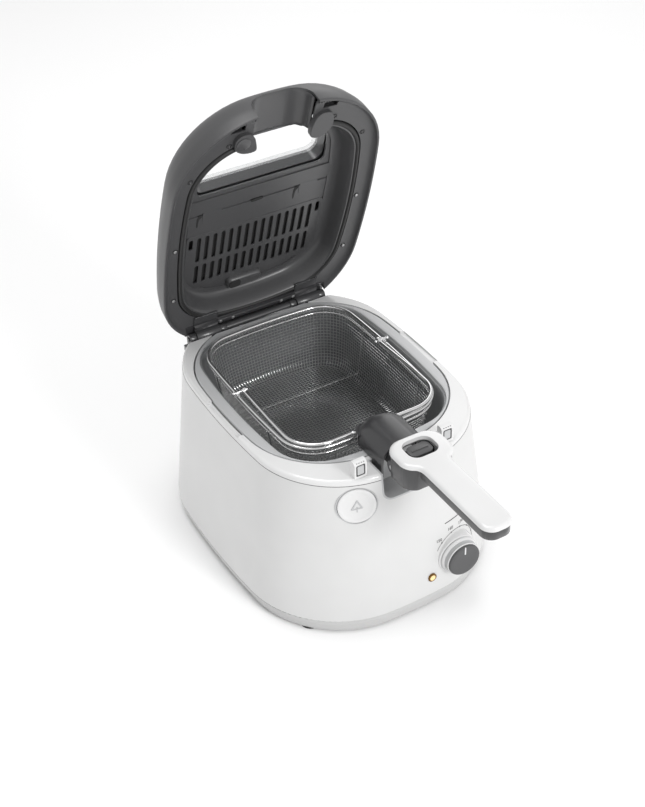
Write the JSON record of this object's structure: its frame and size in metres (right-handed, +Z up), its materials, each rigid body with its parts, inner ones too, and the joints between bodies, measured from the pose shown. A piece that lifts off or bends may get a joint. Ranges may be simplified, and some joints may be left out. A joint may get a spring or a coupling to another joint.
{
  "type": "deep fryer",
  "caption": "Compact deep fryer with round-cornered body, hinged lid with window and filter, wire basket on a folding handle, thermostat knob and lid button.",
  "frame": {"origin": "on the worktop, under the centre of the body", "axes": "+Z up, the front with the knob and handle faces -Y, +X to the right as seen from the front"},
  "size_m": [0.281, 0.5021, 0.4824],
  "materials": {
    "pearl_shell": "satin pearl white",
    "gloss_white": "glossy white plastic",
    "light_grey": "satin light grey plastic",
    "nonstick": "grey non-stick coating",
    "lid_grey": "satin dark grey plastic",
    "inner_grey": "satin dark grey plastic",
    "dark_grey": "dark grey plastic",
    "knob_grey": "dark grey plastic",
    "rubber": "black rubber",
    "seal": "dark silicone",
    "glass": "clear window",
    "filter": "dark filter mat",
    "chrome": "bright wire",
    "steel": "plain steel",
    "black_steel": "blackened steel",
    "amber": "amber lens",
    "bronze": "brown-gold ring"
  },
  "bodies": {
    "body": {"outer_shell": "pearl_shell", "top_trim": "gloss_white", "scoop_liner": "light_grey", "bowl_collar": "light_grey", "oil_bowl": "nonstick", "base_pan": "gloss_white", "rear_deck": "dark_grey", "cord_gland": "dark_grey", "heating_element": "steel", "thermostat_body": "dark_grey", "button_guide": "light_grey", "dial_boss": "gloss_white", "lamp_bezel": "bronze", "lamp_lens": "amber", "hood": "dark_grey", "handle_pin": "steel", "foot_front_left": "rubber", "foot_front_right": "rubber", "foot_rear_left": "rubber", "foot_rear_right": "rubber", "bracket_socket_left": "dark_grey", "bracket_socket_right": "dark_grey", "latch_housing_left": "gloss_white", "latch_housing_right": "gloss_white"},
    "bracket": {"lid_bracket": "dark_grey", "hinge_pin_left": "black_steel", "hinge_pin_right": "black_steel", "torsion_spring_left": "black_steel", "torsion_spring_right": "black_steel"},
    "lid": {"lid_shell": "lid_grey", "lid_frame": "inner_grey", "lid_liner": "inner_grey", "lid_seal": "seal", "window_glass": "glass", "window_bezel": "dark_grey", "filter_cover": "inner_grey", "filter_mat": "filter", "hinge_bar": "dark_grey", "lid_hook_left": "dark_grey", "lid_hook_right": "dark_grey", "hinge_arm_left": "dark_grey", "hinge_arm_right": "dark_grey", "lid_screws": "steel"},
    "button": {"lid_button": "gloss_white"},
    "catch_left": {"latch_bolt_left": "light_grey"},
    "catch_right": {"latch_bolt_right": "light_grey"},
    "knob": {"knob_skirt": "light_grey", "knob_cap": "knob_grey", "knob_pointer": "gloss_white", "thermostat_shaft": "steel"},
    "bail": {"bail_wire": "chrome", "bail_hub": "dark_grey"},
    "basket": {"basket_mesh": "chrome", "basket_rim": "chrome", "basket_hoops": "chrome", "eyelet_left": "chrome", "eyelet_right": "chrome"},
    "handle": {"handle_cover": "gloss_white", "handle_shell": "dark_grey"},
    "slide": {"handle_slide": "inner_grey"}
  },
  "joints": [
    {"name": "lid_lift_off", "type": "slide", "parent": "body", "child": "bracket", "axis": [0, 0, 1], "range_m": [0, 0.052]},
    {"name": "lid_hinge", "type": "hinge", "parent": "bracket", "child": "lid", "pos_m": [0, 0.143, 0.186], "axis": [1, 0, 0], "range_deg": [0, 70.7], "stiffness_Nm_per_rad": 0.5, "springref_deg": -137.51},
    {"name": "lid_button_press", "type": "slide", "parent": "body", "child": "button", "axis": [0.3554, 0.9285, -0.1076], "range_m": [0, 0.003], "stiffness_N_per_m": 800},
    {"name": "catch_left_slide", "type": "slide", "parent": "body", "child": "catch_left", "axis": [0, 1, 0], "range_m": [0, 0.003]},
    {"name": "catch_right_slide", "type": "slide", "parent": "body", "child": "catch_right", "axis": [0, 1, 0], "range_m": [0, 0.003]},
    {"name": "thermostat_turn", "type": "hinge", "parent": "body", "child": "knob", "pos_m": [0.051, -0.17816, 0.054], "axis": [0, -1, 0], "range_deg": [-74, 180]},
    {"name": "handle_fold", "type": "hinge", "parent": "body", "child": "handle", "pos_m": [0, -0.17, 0.198], "axis": [1, 0, 0], "range_deg": [0, 80]},
    {"name": "bail_swing", "type": "hinge", "parent": "body", "child": "bail", "pos_m": [0, -0.17, 0.198], "axis": [1, 0, 0], "range_deg": [-12.8, 0]},
    {"name": "basket_level", "type": "hinge", "parent": "bail", "child": "basket", "pos_m": [0, 0.022, 0.1924], "axis": [1, 0, 0], "range_deg": [0, 12.8]},
    {"name": "slide_release", "type": "slide", "parent": "handle", "child": "slide", "axis": [0, 1, 0], "range_m": [0, 0.004], "stiffness_N_per_m": 400}
  ],
  "couplings": [
    {"joint": "catch_left_slide", "follows": "lid_button_press", "ratio": 1},
    {"joint": "catch_right_slide", "follows": "lid_button_press", "ratio": 1},
    {"joint": "bail_swing", "follows": "handle_fold", "ratio": -0.16},
    {"joint": "basket_level", "follows": "handle_fold", "ratio": 0.16}
  ]
}
